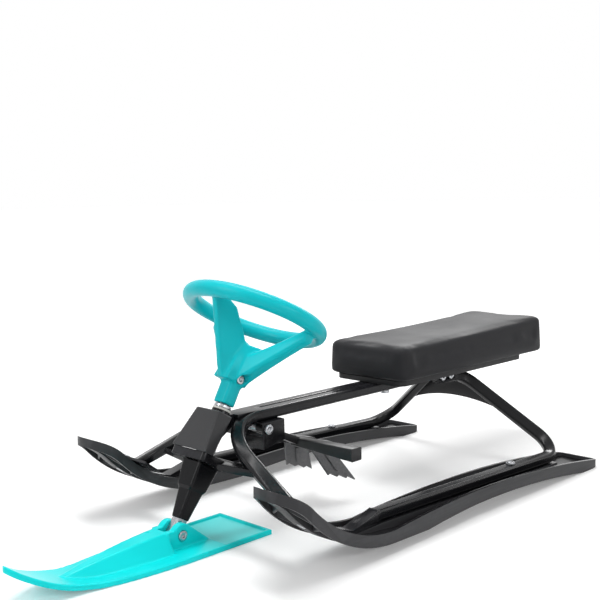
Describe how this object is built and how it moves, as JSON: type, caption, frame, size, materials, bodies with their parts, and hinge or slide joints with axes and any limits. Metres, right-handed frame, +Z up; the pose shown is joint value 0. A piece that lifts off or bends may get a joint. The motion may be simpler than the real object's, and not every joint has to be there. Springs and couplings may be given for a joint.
{
  "type": "steering sled",
  "caption": "Child's steering sled with rear skis on a steel tube frame, a padded seat, a wheel that turns the front ski, and foot brakes with claws.",
  "frame": {"origin": "on the ground under the middle of the sled's box", "axes": "+X forward, +Y to the rider's left, +Z up"},
  "size_m": [1.1328, 0.5, 0.3841],
  "materials": {
    "black_paint": "gloss black paint on steel tube and plate",
    "zinc_steel": "bright zinc plate",
    "ski_plastic": "satin charcoal moulding",
    "cover_plastic": "satin dark moulding",
    "cone_plastic": "gloss black moulding",
    "wheel_plastic": "gloss turquoise moulding",
    "front_ski_plastic": "gloss turquoise moulding",
    "seat_vinyl": "matte black vinyl over foam",
    "bush_plastic": "natural nylon",
    "claw_steel": "dark grey steel plate"
  },
  "bodies": {
    "frame": {"left_front_tube": "black_paint", "right_front_tube": "black_paint", "left_rear_tube": "black_paint", "right_rear_tube": "black_paint", "head_block": "black_paint", "head_gusset": "black_paint", "head_tube": "black_paint", "brace_plate": "black_paint", "rear_arch_plate": "black_paint", "brake_bracket": "black_paint", "frame_bolts": "zinc_steel", "frame_nuts": "zinc_steel", "ski_bolts": "zinc_steel", "ski_nuts": "zinc_steel", "seat_bolts": "zinc_steel", "bracket_screws": "zinc_steel", "brake_pivot_bolt": "zinc_steel", "brake_pivot_nut": "zinc_steel", "left_brake_spring": "zinc_steel", "right_brake_spring": "zinc_steel", "left_rear_ski": "ski_plastic", "right_rear_ski": "ski_plastic", "front_cover": "cover_plastic", "seat_board": "cover_plastic", "seat_cushion": "seat_vinyl", "upper_steering_bush": "bush_plastic", "lower_steering_bush": "bush_plastic"},
    "steering": {"steering_shaft": "zinc_steel", "column_cone": "cone_plastic", "shaft_collar": "zinc_steel", "steering_wheel": "wheel_plastic", "wheel_bolt": "zinc_steel", "wheel_nut": "zinc_steel"},
    "front_ski": {"front_ski": "front_ski_plastic", "ski_pivot_bolt": "zinc_steel", "ski_pivot_nut": "zinc_steel"},
    "left_brake": {"left_brake_pedal": "cover_plastic", "left_brake_claw": "claw_steel", "left_claw_rivets": "zinc_steel"},
    "right_brake": {"right_brake_pedal": "cover_plastic", "right_brake_claw": "claw_steel", "right_claw_rivets": "zinc_steel"}
  },
  "joints": [
    {"name": "steering_turn", "type": "hinge", "parent": "frame", "child": "steering", "pos_m": [0.2935, 0, 0.03], "axis": [-0.5, 0, 0.866], "range_deg": [-35, 35]},
    {"name": "front_ski_swing", "type": "hinge", "parent": "steering", "child": "front_ski", "pos_m": [0.297, 0, 0.025], "axis": [0, 1, 0], "range_deg": [-15, 15]},
    {"name": "left_brake_press", "type": "hinge", "parent": "frame", "child": "left_brake", "pos_m": [0.139, 0.0195, 0.1525], "axis": [0, -1, 0], "range_deg": [0, 18], "stiffness_Nm_per_rad": 0.8, "springref_deg": -28.65},
    {"name": "right_brake_press", "type": "hinge", "parent": "frame", "child": "right_brake", "pos_m": [0.139, -0.0195, 0.1525], "axis": [0, -1, 0], "range_deg": [0, 18], "stiffness_Nm_per_rad": 0.8, "springref_deg": -28.65}
  ]
}
